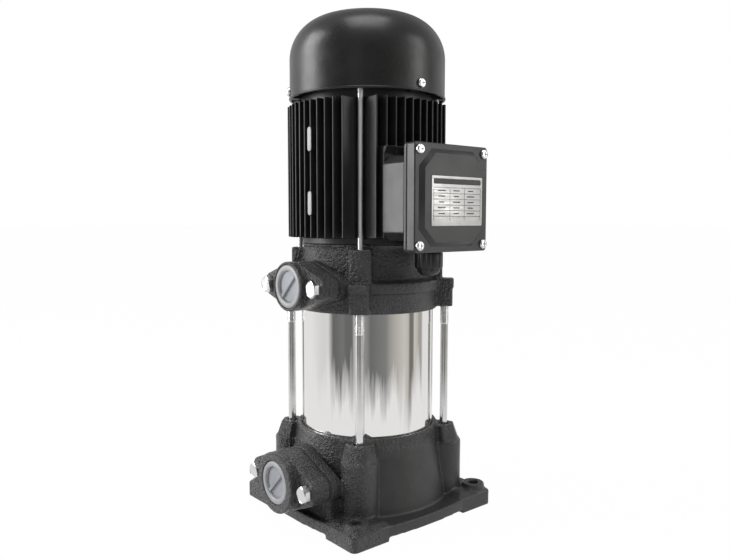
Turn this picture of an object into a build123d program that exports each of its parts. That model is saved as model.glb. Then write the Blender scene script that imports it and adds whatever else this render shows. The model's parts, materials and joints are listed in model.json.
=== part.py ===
from build123d import *
import os
from math import cos, pi, sin, sqrt

# Vertical multistage pump with its motor, in millimetres.
# Origin: pump axis at the underside of the feet.  +Z runs up the shaft, the ports
# face -Y, the terminal box faces +X and the rods stand on the diagonals.

# ---------------------------------------------------------------- clearances
slip = 0.05            # radial play of parts that are fitted and stay put
running = 0.05         # radial play of the shaft sleeve in its bush
air = 0.5              # gap between parts that turn past each other
ball_play = 0.25       # gap between a ball and its races
face_gap = 0.2         # axial gap between turning and standing faces

# ---------------------------------------------------------------- base casting
base_side = 166.0
base_bulge = 3.0
base_corner_r = 5.0
foot_side = 38.5
corner_pad_side = 42.0
corner_pad_slope = 58
foot_height = 3.5
skirt_half_x = 44.0
skirt_top = 30.0
skirt_inset = 0.6
plate_top = 13.0
corner_pad_top = 16.5
foot_hole_spacing = 142.0
foot_hole_d = 10.0
boss_d = 22.5
boss_top = 20.5
barrel_foot_r = 75.0
barrel_top_r = 65.5
barrel_top = 78.7
column_r = 16.0
column_taper_z = 62.0
column_top = 76.5
column_tip_r = 12.5
column_tip_shift = 1.8
base_floor = 20.0
recess_r = 55.0
recess_top = 9.0

# ---------------------------------------------------------------- sleeve and stages
sleeve_r = 61.4
sleeve_wall = 1.5
sleeve_seat_depth = 5.2
seal_thickness = 2.0
spigot_wall = 2.3
spigot_height = 9.0
chamber_r = 50.0
stage_count = 4
stack_ring_height = 10.0
stack_seat_depth = 1.6
stage_height = 27.0
stage_wall = 2.0
web_thickness = 4.0
inlet_thickness = 4.0
eye_r = 17.0
impeller_r = 46.0
shroud = 1.2
vane_height = 5.6
vane_count = 6
vane_width = 1.6
hub_r = 9.0

# ---------------------------------------------------------------- tie rods
rod_circle_r = 72.2
rod_d = 8.0
rod_shank_d = 7.1
rod_thread_low = 17.0
rod_thread_high = 17.4
rod_engagement = 20.0
rod_clearance = 0.6
washer_r = 8.0
washer_thickness = 1.6
m8_flats = 13.0
m8_nut_height = 6.5
m8_head_height = 6.0
nut_pocket_r = 11.0
nut_pocket_top = 14.0

# ---------------------------------------------------------------- head casting
drum_r = 64.5
drum_height = 16.6
ring_r = 67.5
ring_height = 10.5
neck_r = 58.5
neck_flare = 6.0
lobe_half_width = 8.8
lobe_outer_r = 80.5
lobe_lift = 1.6
lug_width = 19.5
lug_outer_r = 70.0
lug_drop = 4.0
seal_wall_height = 8.0
neck_room_height = 14.0
neck_bore_r = 46.0

# ---------------------------------------------------------------- ports
port_bore_r = 14.0
plug_thread_r = 16.5
plug_rim_r = 18.8
plug_rim_thickness = 3.0
plug_disc_r = 13.25
plug_length = 12.0
plug_recess = 0.3
plug_disc_depth = 3.0
plug_wall = 2.0
plug_bar_width = 2.6
plug_bar_tilt = 45
gasket_thickness = 2.0
gasket_inset = 0.5
suction_z = 40.5
suction_face = 105.0
suction_flange_thickness = 25.0
suction_ear_thickness = 17.0
suction_boss_r = 26.5
suction_ear_height = 22.0
suction_ear_reach = 47.5
suction_bolt_spacing = 76.0
suction_pad_thickness = 10.0
discharge_lift = 23.6
discharge_face = 90.0
discharge_flange_thickness = 23.0
discharge_ear_thickness = 17.0
discharge_boss_r = 21.5
discharge_ear_height = 21.0
discharge_ear_reach = 44.5
discharge_bolt_spacing = 69.0
discharge_pad_thickness = 9.0
suction_ear_corner_r = 8.5
discharge_ear_corner_r = 10.0

# ---------------------------------------------------------------- shaft line
shaft_r = 6.0
seal_shaft_r = 7.5
rotor_shaft_r = 10.0
fan_shaft_r = 6.0
sleeve_journal_r = 9.0
bush_wall = 3.0
bush_length = 12.0
spider_wall = 3.0
spider_rib = 4.0
m12_flats = 18.0
shaft_nut_height = 8.0
seal_outer_r = 16.0
seal_ring_r = 13.0
seal_ring_height = 8.0
bellows_r = 12.0
bellows_length = 22.0
bellows_lift = 13.8
seal_seat_proud = 2.0
bearing_outer_r = 17.5
bearing_width = 11.0
bearing_race = 2.9
ball_r = 2.75
ball_count = 8
bearing_wall = 4.5

# ---------------------------------------------------------------- motor
flange_r = 60.0
flange_thickness = 5.5
bearing_lip = 2.0
housing_bore_r = 50.0
housing_core_r = 57.0
housing_length = 118.0
fin_pitch = 8.0
fins_per_side = 11
fin_thickness = 1.7
fin_tip = 70.5
fin_fall = 160.0
stator_length = 65.0
stator_bore_r = 28.0
winding_height = 15.0
slot_count = 24
motor_rod_circle_r = 63.2
motor_rod_d = 4.5
motor_rod_thread_d = 5.0
motor_ear_r = 5.6
motor_rod_head_flats = 8.0
motor_rod_head_height = 3.5
shield_r = 60.0
shield_thickness = 7.5
shield_ear_rise = 4.0
fin_pad_low = 29.8
fin_pad_high = 84.2
fin_pad_length = 20.0
fin_pad_width = 4.4

# ---------------------------------------------------------------- fan and cover
cover_r = 70.7
cover_wall = 1.5
cover_rim_gap = 5.5
cover_bead_r = 0.8
cover_wall_height = 35.0
cover_shoulder_r = 38.0
cover_crown = 1.5
cover_screw_height = 6.8
cover_screw_d = 4.0
cover_screw_head_d = 8.0
cover_lug_width = 10.0
cover_lug_height = 11.0
fan_r = 58.0
fan_hub_r = 13.0
fan_disc_r = 50.0
fan_blades = 6
fan_height = 20.0
fan_disc = 2.5
fan_gap = 14.0

# ---------------------------------------------------------------- terminal box
neck_face_x = 65.0
box_rim_x = 92.3
box_rim_depth = 3.7
box_centre_y = 2.9
box_neck_y = 81.8
box_neck_z = 69.0
box_neck_chamfer = 6.5
box_size_y = 85.2
box_size_z = 87.4
box_centre_lift = 33.0
box_corner_r = 3.0
box_wall = 3.5
lid_gasket_thickness = 1.0
lid_thickness = 8.3
lid_wall = 3.0
lid_panel_rise = 3.5
lid_panel_y = 76.0
lid_panel_z = 78.0
lid_panel_chamfer = 14.0
lid_screw_spacing_y = 74.5
lid_screw_spacing_z = 75.6
lid_screw_d = 4.0
lid_screw_head_d = 8.0
label_size_y = 59.4
label_size_z = 39.8
label_thickness = 0.5
label_shift = 2.0
label_drop = 2.3
block_y = 44.0
block_z = 30.0
stud_pitch_y = 14.0
stud_pitch_z = 18.0
gland_x = 78.5
gland_flats = 23.0
gland_thread_r = 8.0
gland_hex_height = 10.0
cable_r = 4.5

# ---------------------------------------------------------------- worked-out places
half_base = base_side / 2
sleeve_bore_r = sleeve_r - sleeve_wall
spigot_r = sleeve_bore_r - 0.3
spigot_bore_r = spigot_r - spigot_wall
seat_r = sleeve_r + 0.3
stage_r = spigot_bore_r - slip - 0.3
sleeve_bottom = barrel_top - sleeve_seat_depth
groove_bottom = sleeve_bottom - seal_thickness
stack_bottom = barrel_top - 12.7
stage_bottom = stack_bottom + inlet_thickness
stage_top = stage_bottom + stage_count * stage_height
stack_top = stage_top + stack_ring_height
head_bottom = stack_top - stack_seat_depth
sleeve_top = head_bottom + sleeve_seat_depth
groove_top = sleeve_top + seal_thickness
drum_top = head_bottom + drum_height
ring_top = drum_top + ring_height
lobe_bottom = head_bottom + lobe_lift
discharge_z = head_bottom + discharge_lift
head_ceiling = stage_top + bellows_lift + bellows_length + seal_ring_height + face_gap + seal_seat_proud
seal_wall_top = head_ceiling + seal_wall_height
neck_top = seal_wall_top + neck_room_height
lug_top = neck_top - lug_drop
flange_top = neck_top + flange_thickness
housing_top = flange_top + housing_length
shield_top = housing_top + shield_thickness
stator_bottom = (flange_top + housing_top - stator_length) / 2
stator_top = stator_bottom + stator_length
lower_bearing_z = neck_top + bearing_lip
upper_bearing_z = shield_top - bearing_lip - bearing_width
cover_rim_z = housing_top + cover_rim_gap
cover_shoulder_z = cover_rim_z + cover_wall_height
cover_top = cover_shoulder_z + cover_shoulder_r + cover_crown
cover_screw_z = cover_rim_z + cover_screw_height
box_centre_z = flange_top + box_centre_lift
box_neck_bottom = box_centre_z - box_neck_z / 2
label_z = box_centre_z - label_drop
box_face_x = box_rim_x + box_rim_depth
lid_back_x = box_face_x + lid_gasket_thickness
lid_face_x = lid_back_x + lid_thickness
diagonals = (45, 135, 225, 315)


def on_circle(radius, angle):
    """Point at a radius and an angle in degrees."""
    return radius * cos(angle * pi / 180), radius * sin(angle * pi / 180)


rod_points = [on_circle(rod_circle_r, angle) for angle in diagonals]
motor_rod_points = [on_circle(motor_rod_circle_r, angle) for angle in diagonals]
foot_hole_grid = GridLocations(foot_hole_spacing, foot_hole_spacing, 2, 2)


def port_plane(distance, height):
    """Plane across a port: its normal runs out of the port, its x runs along X."""
    return Plane(origin=(0, -distance, height), x_dir=(1, 0, 0), z_dir=(0, -1, 0))


def flange_outline(boss_r, ear_height, ear_reach, corner_r, inset=0.0):
    """Two-bolt flange: a round middle drawn out to two ears by straight tangents."""
    height = ear_height - 2 * inset
    reach = ear_reach - inset
    with BuildSketch(mode=Mode.PRIVATE) as outline:
        Circle(boss_r - inset)
        with Locations((height / 2 - reach, 0), (reach - height / 2, 0)):
            RectangleRounded(height, height, corner_r - inset)
        make_hull()
    return outline.sketch


def ring_body(outer_r, inner_r, bottom, top):
    """Plain ring standing on the axis."""
    with BuildPart(mode=Mode.PRIVATE) as ring:
        with BuildSketch(Plane.XY.offset(bottom)):
            Circle(outer_r)
            Circle(inner_r, mode=Mode.SUBTRACT)
        extrude(amount=top - bottom)
    return ring.part


suction_outline = flange_outline(suction_boss_r, suction_ear_height, suction_ear_reach, suction_ear_corner_r)
discharge_outline = flange_outline(
    discharge_boss_r, discharge_ear_height, discharge_ear_reach, discharge_ear_corner_r
)
pieces = {}

# ================================================================ base casting
suction_pad_face = suction_face - suction_flange_thickness - gasket_thickness
barrel_slope = (barrel_foot_r - barrel_top_r) / (barrel_top - plate_top)
drain_z = 34.0
drain_face = 80.0
drain_thread_r = 6.5
drain_boss_r = 12.0

with BuildPart() as base_casting:
    # square foot plate with feet under its corners
    with BuildSketch(Plane.XY.offset(foot_height)):
        RectangleRounded(base_side, base_side, base_corner_r)
        for quarter in range(4):
            with BuildLine(Location((0, 0, 0), 90 * quarter)):
                edge_low = (half_base, foot_side - half_base)
                edge_high = (half_base, half_base - foot_side)
                ThreePointArc(edge_low, (half_base + base_bulge, 0), edge_high)
                Line(edge_high, edge_low)
            make_face()
    extrude(amount=plate_top - foot_height)
    channel = base_side - 2 * foot_side
    with BuildSketch():
        RectangleRounded(base_side, base_side, base_corner_r)
        Rectangle(base_side + 1, channel, mode=Mode.SUBTRACT)
        Rectangle(channel, base_side + 1, mode=Mode.SUBTRACT)
    extrude(amount=foot_height)
    pad_grid = base_side - corner_pad_side
    with BuildSketch(Plane.XY.offset(plate_top)):
        with GridLocations(pad_grid, pad_grid, 2, 2):
            RectangleRounded(corner_pad_side, corner_pad_side, base_corner_r)
    extrude(amount=corner_pad_top - plate_top, taper=corner_pad_slope)
    # bosses round the foundation bolt holes
    with BuildSketch(Plane.XY.offset(plate_top)):
        with foot_hole_grid:
            Circle(boss_d / 2)
    extrude(amount=boss_top - plate_top, taper=8)
    # conical barrel
    with BuildSketch(Plane.XZ):
        with BuildLine():
            Polyline(
                (0, foot_height),
                (barrel_foot_r, foot_height),
                (barrel_foot_r, plate_top),
                (barrel_top_r, barrel_top),
                (0, barrel_top),
                close=True,
            )
        make_face()
    revolve(axis=Axis.Z)
    # rod columns, straight and then drawn in to a narrower top
    with BuildSketch(Plane.XY.offset(foot_height)):
        with Locations(*rod_points):
            Circle(column_r)
    extrude(amount=column_taper_z - foot_height)
    for angle in diagonals:
        tip_x, tip_y = on_circle(rod_circle_r - column_tip_shift, angle)
        foot_x, foot_y = on_circle(rod_circle_r, angle)
        with BuildSketch(Plane.XY.offset(column_taper_z)):
            with Locations(Location((foot_x, foot_y, 0), angle + 30)):
                RegularPolygon(column_r, 6)
        with BuildSketch(Plane.XY.offset(column_top)):
            with Locations(Location((tip_x, tip_y, 0), angle + 30)):
                RegularPolygon(column_tip_r, 6)
        loft()
    # suction branch and its flange pad
    with BuildSketch(port_plane(suction_pad_face - suction_pad_thickness, suction_z)):
        add(suction_outline)
    extrude(amount=suction_pad_thickness)
    with BuildSketch(port_plane(chamber_r + 1, suction_z)):
        Circle(suction_boss_r - 2)
    extrude(amount=suction_pad_face - chamber_r - 1 - suction_pad_thickness)
    # skirt that closes the room between the foot plate and the suction pad
    with BuildSketch(Plane.XY.offset(foot_height)):
        with Locations((0, (skirt_inset - suction_pad_face - chamber_r) / 2)):
            Rectangle(2 * skirt_half_x, suction_pad_face - skirt_inset - chamber_r)
    extrude(amount=skirt_top - foot_height)
    # drain boss at the back
    with BuildSketch(Plane(origin=(0, chamber_r + 1, drain_z), x_dir=(1, 0, 0), z_dir=(0, 1, 0))):
        Circle(drain_boss_r)
    extrude(amount=drain_face - chamber_r - 1)
    # suction chamber, stage seat and the groove for the sleeve
    with BuildSketch(Plane.XY.offset(base_floor)):
        Circle(chamber_r)
    extrude(amount=stack_bottom - base_floor, mode=Mode.SUBTRACT)
    with BuildSketch(Plane.XY.offset(stack_bottom)):
        Circle(spigot_bore_r)
    extrude(amount=barrel_top - stack_bottom, mode=Mode.SUBTRACT)
    with BuildSketch(Plane.XY.offset(groove_bottom)):
        Circle(seat_r)
        Circle(spigot_r, mode=Mode.SUBTRACT)
    extrude(amount=barrel_top - groove_bottom, mode=Mode.SUBTRACT)
    with BuildSketch(Plane.XY.offset(foot_height)):
        Circle(recess_r)
    extrude(amount=recess_top - foot_height, mode=Mode.SUBTRACT)
    # suction passage, drain passage and bolt holes
    with BuildSketch(port_plane(suction_pad_face, suction_z)):
        Circle(port_bore_r)
    extrude(amount=-(suction_pad_face - chamber_r + 2), mode=Mode.SUBTRACT)
    with BuildSketch(port_plane(suction_pad_face, suction_z)):
        with GridLocations(suction_bolt_spacing, 1, 2, 1):
            Circle(rod_d / 2 + slip)
    extrude(amount=-suction_pad_thickness, mode=Mode.SUBTRACT)
    with BuildSketch(Plane(origin=(0, drain_face, drain_z), x_dir=(1, 0, 0), z_dir=(0, 1, 0))):
        Circle(drain_thread_r + slip)
    extrude(amount=-(drain_face - chamber_r + 4), mode=Mode.SUBTRACT)
    # tie rod passages with nut pockets underneath
    with BuildSketch():
        with Locations(*rod_points):
            Circle(nut_pocket_r)
    extrude(amount=nut_pocket_top, mode=Mode.SUBTRACT)
    with BuildSketch():
        with Locations(*rod_points):
            Circle(rod_d / 2 + rod_clearance)
    extrude(amount=column_top + 1, mode=Mode.SUBTRACT)
    # foundation bolt holes
    with BuildSketch():
        with foot_hole_grid:
            Circle(foot_hole_d / 2)
    extrude(amount=boss_top + 1, mode=Mode.SUBTRACT)
pieces["base_casting"] = base_casting

# ================================================================ sleeve and its seals
with BuildPart() as sleeve_seal_lower:
    add(ring_body(sleeve_r, sleeve_bore_r, groove_bottom, sleeve_bottom))
pieces["sleeve_seal_lower"] = sleeve_seal_lower

with BuildPart() as pump_sleeve:
    add(ring_body(sleeve_r, sleeve_bore_r, sleeve_bottom, sleeve_top))
pieces["pump_sleeve"] = pump_sleeve

with BuildPart() as sleeve_seal_upper:
    add(ring_body(sleeve_r, sleeve_bore_r, sleeve_top, groove_top))
pieces["sleeve_seal_upper"] = sleeve_seal_upper

# ================================================================ head casting
discharge_pad_face = discharge_face - discharge_flange_thickness - gasket_thickness
vent_z = drum_top + 5.0
vent_face = 72.0
vent_thread_r = 6.5
vent_boss_r = 12.0
lobe_inset = 1.0
lobe_plate_bottom = drum_top + 2.0
back_plane_vent = Plane(origin=(0, chamber_r + 1, vent_z), x_dir=(1, 0, 0), z_dir=(0, 1, 0))

with BuildPart() as head_casting:
    # drum, proud ring and neck
    with BuildSketch(Plane.XZ):
        with BuildLine():
            Polyline(
                (0, head_bottom),
                (drum_r, head_bottom),
                (drum_r, drum_top),
                (ring_r, drum_top + 1.5),
                (ring_r, ring_top - 1.5),
                (ring_r - 1.5, ring_top),
                (neck_r + neck_flare, ring_top),
                (neck_r + 0.3 * neck_flare, ring_top + 0.3 * neck_flare),
                (neck_r, ring_top + neck_flare),
                (neck_r, neck_top - 3),
                (flange_r, neck_top - 1.5),
                (flange_r, neck_top),
                (0, neck_top),
                close=True,
            )
        make_face()
    revolve(axis=Axis.Z)
    # lobes that take the tie rods
    for bottom, top, outer in (
        (lobe_bottom, lobe_plate_bottom, lobe_outer_r - lobe_inset),
        (lobe_plate_bottom, ring_top, lobe_outer_r),
    ):
        with BuildSketch(Plane.XY.offset(bottom)):
            for angle in diagonals:
                with Locations(Location((0, 0, 0), angle)):
                    RectangleRounded(2 * outer, 2 * lobe_half_width, 3.0)
        extrude(amount=top - bottom)
    # lugs that take the long motor rods
    with BuildSketch(Plane.XY.offset(ring_top)):
        for angle in diagonals:
            with Locations(Location((0, 0, 0), angle)):
                RectangleRounded(2 * lug_outer_r, lug_width, 2.5)
    extrude(amount=lug_top - ring_top)
    # flat cut across ring and drum behind the discharge flange
    with BuildSketch(port_plane(discharge_pad_face, discharge_z)):
        Rectangle(2 * discharge_ear_reach, 2 * (discharge_z - head_bottom))
    extrude(amount=ring_r, mode=Mode.SUBTRACT)
    # discharge branch, flange pad and vent boss
    with BuildSketch(port_plane(discharge_pad_face - discharge_pad_thickness, discharge_z)):
        add(discharge_outline)
    extrude(amount=discharge_pad_thickness)
    with BuildSketch(port_plane(chamber_r + 1, discharge_z)):
        Circle(discharge_boss_r)
    extrude(amount=discharge_pad_face - chamber_r - 1)
    with BuildSketch(back_plane_vent):
        Circle(vent_boss_r)
    extrude(amount=vent_face - chamber_r - 1)
    # discharge chamber, seal seat, neck room and the groove for the sleeve
    with BuildSketch(Plane.XY.offset(head_bottom)):
        Circle(spigot_bore_r)
    extrude(amount=stack_top - head_bottom, mode=Mode.SUBTRACT)
    with BuildSketch(Plane.XY.offset(stack_top)):
        Circle(chamber_r)
    extrude(amount=head_ceiling - stack_top, mode=Mode.SUBTRACT)
    with BuildSketch(Plane.XY.offset(head_ceiling)):
        Circle(seal_outer_r)
    extrude(amount=seal_wall_top - head_ceiling, mode=Mode.SUBTRACT)
    with BuildSketch(Plane.XY.offset(seal_wall_top)):
        Circle(neck_bore_r)
    extrude(amount=neck_top - seal_wall_top, mode=Mode.SUBTRACT)
    with BuildSketch(Plane.XY.offset(head_bottom)):
        Circle(seat_r)
        Circle(spigot_r, mode=Mode.SUBTRACT)
    extrude(amount=groove_top - head_bottom, mode=Mode.SUBTRACT)
    # discharge passage, vent passage and bolt holes
    with BuildSketch(port_plane(discharge_pad_face, discharge_z)):
        Circle(port_bore_r)
    extrude(amount=-(discharge_pad_face - chamber_r + 4), mode=Mode.SUBTRACT)
    with BuildSketch(port_plane(discharge_pad_face, discharge_z)):
        with GridLocations(discharge_bolt_spacing, 1, 2, 1):
            Circle(rod_d / 2 + slip)
    extrude(amount=-discharge_pad_thickness, mode=Mode.SUBTRACT)
    with BuildSketch(Plane(origin=(0, vent_face, vent_z), x_dir=(1, 0, 0), z_dir=(0, 1, 0))):
        Circle(vent_thread_r + slip)
    extrude(amount=-(vent_face - chamber_r + 4), mode=Mode.SUBTRACT)
    # threaded holes for tie rods and motor rods
    with BuildSketch(Plane.XY.offset(lobe_bottom)):
        with Locations(*rod_points):
            Circle(rod_d / 2 + slip)
    extrude(amount=rod_engagement + 1, mode=Mode.SUBTRACT)
    with BuildSketch(Plane.XY.offset(lug_top)):
        with Locations(*motor_rod_points):
            Circle(motor_rod_thread_d / 2 + slip)
    extrude(amount=-21, mode=Mode.SUBTRACT)
pieces["head_casting"] = head_casting

# ================================================================ ports
def port_flange(face, thickness, ear_thickness, height, boss_r, outline, spacing):
    """Companion flange: two ears behind a round boss that holds the pipe thread."""
    back = face - thickness
    with BuildPart(mode=Mode.PRIVATE) as flange:
        with BuildSketch(port_plane(back, height)):
            add(outline)
        extrude(amount=ear_thickness)
        fillet(flange.faces().sort_by(Axis.Y)[0].edges(), 1.2)
        with BuildSketch(port_plane(back, height)):
            Circle(boss_r)
        extrude(amount=thickness)
        chamfer(flange.faces().sort_by(Axis.Y)[0].edges(), 1.0)
        with BuildSketch(port_plane(back, height)):
            Circle(plug_thread_r + slip)
        extrude(amount=thickness, mode=Mode.SUBTRACT)
        with BuildSketch(port_plane(face, height)):
            Circle(plug_rim_r + 3 * slip)
        extrude(amount=-(plug_rim_thickness + plug_recess), mode=Mode.SUBTRACT)
        with BuildSketch(port_plane(back, height)):
            with GridLocations(spacing, 1, 2, 1):
                Circle(rod_d / 2 + rod_clearance)
        extrude(amount=thickness, mode=Mode.SUBTRACT)
    return flange.part


def port_gasket(pad_face, height, outline, spacing):
    """Flat gasket cut to the outline of the flange."""
    with BuildPart(mode=Mode.PRIVATE) as gasket:
        with BuildSketch(port_plane(pad_face, height)):
            add(outline)
            Circle(port_bore_r + 1, mode=Mode.SUBTRACT)
            with GridLocations(spacing, 1, 2, 1):
                Circle(rod_d / 2 + rod_clearance, mode=Mode.SUBTRACT)
        extrude(amount=gasket_thickness)
    return gasket.part


def port_bolts(ear_face, height, spacing, reach):
    """Two hexagon bolts: their heads bear on the ears and they thread into the pad."""
    with BuildPart(mode=Mode.PRIVATE) as bolts:
        with BuildSketch(port_plane(ear_face, height)):
            with GridLocations(spacing, 1, 2, 1):
                RegularPolygon(m8_flats / 2, 6, major_radius=False, rotation=30)
        extrude(amount=m8_head_height)
        chamfer(bolts.faces().filter_by(Plane.XZ).sort_by(Axis.Y)[:2].edges(), 0.6)
        with BuildSketch(port_plane(ear_face, height)):
            with GridLocations(spacing, 1, 2, 1):
                Circle(rod_d / 2)
        extrude(amount=-reach)
    return bolts.part


def port_plug(face, height):
    """Transit plug: pale threaded cup with a rim and a disc with a grip bar."""
    front = face - plug_recess
    with BuildPart(mode=Mode.PRIVATE) as plug:
        with BuildSketch(port_plane(front - plug_rim_thickness, height)):
            Circle(plug_rim_r)
        extrude(amount=plug_rim_thickness)
        with BuildSketch(port_plane(front - plug_length, height)):
            Circle(plug_thread_r)
        extrude(amount=plug_length - plug_rim_thickness)
        with BuildSketch(port_plane(front, height)):
            Circle(plug_disc_r)
        extrude(amount=-plug_disc_depth, mode=Mode.SUBTRACT)
        with BuildSketch(port_plane(front - plug_disc_depth - 0.5, height)):
            Rectangle(2 * plug_disc_r + 1, plug_bar_width, rotation=-plug_bar_tilt)
        extrude(amount=plug_disc_depth - 0.5)
        with BuildSketch(port_plane(front - plug_length, height)):
            Circle(plug_thread_r - plug_wall)
        extrude(amount=plug_length - plug_disc_depth - plug_wall, mode=Mode.SUBTRACT)
    return plug.part


port_sizes = {
    "suction": (
        suction_face, suction_flange_thickness, suction_ear_thickness, suction_z, suction_boss_r,
        suction_ear_height, suction_ear_reach, suction_ear_corner_r,
        suction_bolt_spacing, suction_pad_thickness,
    ),
    "discharge": (
        discharge_face, discharge_flange_thickness, discharge_ear_thickness, discharge_z, discharge_boss_r,
        discharge_ear_height, discharge_ear_reach, discharge_ear_corner_r,
        discharge_bolt_spacing, discharge_pad_thickness,
    ),
}
for port, sizes in port_sizes.items():
    face, thickness, ear_thickness, height, boss_r, ear_height, ear_reach, corner_r, spacing, pad = sizes
    flange_back = face - thickness
    pad_face = flange_back - gasket_thickness
    with BuildPart() as flange:
        outline = flange_outline(boss_r, ear_height, ear_reach, corner_r)
        add(port_flange(face, thickness, ear_thickness, height, boss_r, outline, spacing))
    pieces[f"{port}_flange"] = flange
    with BuildPart() as gasket:
        outline = flange_outline(boss_r, ear_height, ear_reach, corner_r, inset=gasket_inset)
        add(port_gasket(pad_face, height, outline, spacing))
    pieces[f"{port}_gasket"] = gasket
    with BuildPart() as bolts:
        reach = ear_thickness + gasket_thickness + pad - 1.5
        add(port_bolts(flange_back + ear_thickness, height, spacing, reach))
    pieces[f"{port}_bolts"] = bolts
    with BuildPart() as plug:
        add(port_plug(face, height))
    pieces[f"{port}_plug"] = plug


# ================================================================ vent and drain plugs
def hex_plug(face, height, thread_r):
    """Hexagon plug with a collar, screwed in from the back of the pump."""
    plane = Plane(origin=(0, face, height), x_dir=(1, 0, 0), z_dir=(0, 1, 0))
    with BuildPart(mode=Mode.PRIVATE) as plug:
        with BuildSketch(plane):
            Circle(thread_r + 3.0)
        extrude(amount=2.0)
        with BuildSketch(plane.offset(2.0)):
            RegularPolygon(thread_r + 1.5, 6, major_radius=False)
        extrude(amount=5.0)
        chamfer(plug.faces().sort_by(Axis.Y)[-1].edges(), 0.6)
        with BuildSketch(plane):
            Circle(thread_r)
        extrude(amount=-10.0)
    return plug.part


with BuildPart() as drain_plug:
    add(hex_plug(drain_face, drain_z, drain_thread_r))
pieces["drain_plug"] = drain_plug

with BuildPart() as vent_plug:
    add(hex_plug(vent_face, vent_z, vent_thread_r))
pieces["vent_plug"] = vent_plug

# ================================================================ tie rods
rod_low = nut_pocket_top - washer_thickness - m8_nut_height - 1.5
rod_high = lobe_bottom + rod_engagement

with BuildPart() as tie_rods:
    for bottom, top, diameter in (
        (rod_low, rod_low + rod_thread_low, rod_d),
        (rod_low + rod_thread_low, lobe_bottom - rod_thread_high, rod_shank_d),
        (lobe_bottom - rod_thread_high, rod_high, rod_d),
    ):
        with BuildSketch(Plane.XY.offset(bottom)):
            with Locations(*rod_points):
                Circle(diameter / 2)
        extrude(amount=top - bottom)
pieces["tie_rods"] = tie_rods

with BuildPart() as tie_rod_washers:
    with BuildSketch(Plane.XY.offset(nut_pocket_top - washer_thickness)):
        with Locations(*rod_points):
            Circle(washer_r)
            Circle(rod_d / 2 + 0.2, mode=Mode.SUBTRACT)
    extrude(amount=washer_thickness)
pieces["tie_rod_washers"] = tie_rod_washers

with BuildPart() as tie_rod_nuts:
    with BuildSketch(Plane.XY.offset(nut_pocket_top - washer_thickness - m8_nut_height)):
        with Locations(*rod_points):
            RegularPolygon(m8_flats / 2, 6, major_radius=False)
            Circle(rod_d / 2 + slip, mode=Mode.SUBTRACT)
    extrude(amount=m8_nut_height)
pieces["tie_rod_nuts"] = tie_rod_nuts

# ================================================================ stages
spider_bottom = stage_bottom - 16.0
bush_r = sleeve_journal_r + running
spider_bore_r = bush_r + bush_wall + slip
spider_r = spider_bore_r + spider_wall

with BuildPart() as inlet_guide:
    # plate with the first eye, and below it a spider that carries the bush
    add(ring_body(stage_r, eye_r, stack_bottom, stage_bottom))
    add(ring_body(spider_r, spider_bore_r, spider_bottom, spider_bottom + bush_length))
    for angle in (0, 120, 240):
        with BuildSketch(Plane.XY.offset(spider_bottom + 2)):
            with Locations(Location((0, 0, 0), angle)):
                with Locations((spider_bore_r + 17, 0)):
                    Rectangle(32.0, spider_rib)
        extrude(amount=stack_bottom - spider_bottom - 2 + 1)
    with BuildSketch(Plane.XY.offset(spider_bottom)):
        Circle(spider_bore_r)
    extrude(amount=stage_bottom - spider_bottom, mode=Mode.SUBTRACT)
    with BuildSketch(Plane.XY.offset(spider_bottom + bush_length)):
        Circle(eye_r)
    extrude(amount=stage_bottom - spider_bottom - bush_length, mode=Mode.SUBTRACT)
pieces["inlet_guide"] = inlet_guide

with BuildPart() as lower_bush:
    add(ring_body(spider_bore_r - slip, bush_r, spider_bottom, spider_bottom + bush_length))
pieces["lower_bush"] = lower_bush

guide_vanes = 8
guide_vane_height = 6.0
for stage in range(stage_count):
    bottom = stage_bottom + stage * stage_height
    top = bottom + stage_height
    with BuildPart() as chamber:
        # outer wall, web with the eye of the next stage, return vanes under the web
        add(ring_body(stage_r, stage_r - stage_wall, bottom, top))
        add(ring_body(stage_r, eye_r, top - web_thickness, top))
        with BuildSketch(Plane.XY.offset(top - web_thickness - guide_vane_height)):
            with PolarLocations(36.0, guide_vanes):
                Rectangle(28.0, 1.8, rotation=35)
        extrude(amount=guide_vane_height)
    pieces[f"stage_chamber_{stage + 1}"] = chamber

    # impeller: two shrouds with swept vanes between, an inlet neck and a long hub
    neck_bottom = bottom - inlet_thickness + 1.0
    lower_shroud = bottom + 1.5
    vane_bottom = lower_shroud + shroud
    upper_shroud = vane_bottom + vane_height
    with BuildPart() as impeller:
        add(ring_body(impeller_r, eye_r - 3.0, lower_shroud, vane_bottom))
        add(ring_body(eye_r - air, eye_r - 3.0, neck_bottom, vane_bottom))
        add(ring_body(impeller_r, hub_r - 1, upper_shroud, upper_shroud + shroud))
        with BuildSketch(Plane.XY.offset(vane_bottom)):
            with PolarLocations(29.0, vane_count):
                Rectangle(33.0, vane_width, rotation=32)
        extrude(amount=vane_height)
        add(ring_body(hub_r, shaft_r + slip, bottom, top))
    pieces[f"impeller_{stage + 1}"] = impeller

with BuildPart() as stack_ring:
    # open ring that holds the stages down under the head
    add(ring_body(stage_r, stage_r - 6.0, stage_top, stack_top))
pieces["stack_ring"] = stack_ring

# ================================================================ shaft line
sleeve_low = spider_bottom - 2.0
nut_bottom = sleeve_low - shaft_nut_height
shaft_bottom = nut_bottom - 2.0
seal_face_z = head_ceiling - seal_seat_proud
ring_bottom_z = seal_face_z - face_gap - seal_ring_height
fan_bottom = shield_top + fan_gap
shaft_top = fan_bottom + fan_height - 4.0
rotor_shaft_low = lower_bearing_z + bearing_width
rotor_shaft_high = upper_bearing_z

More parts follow.
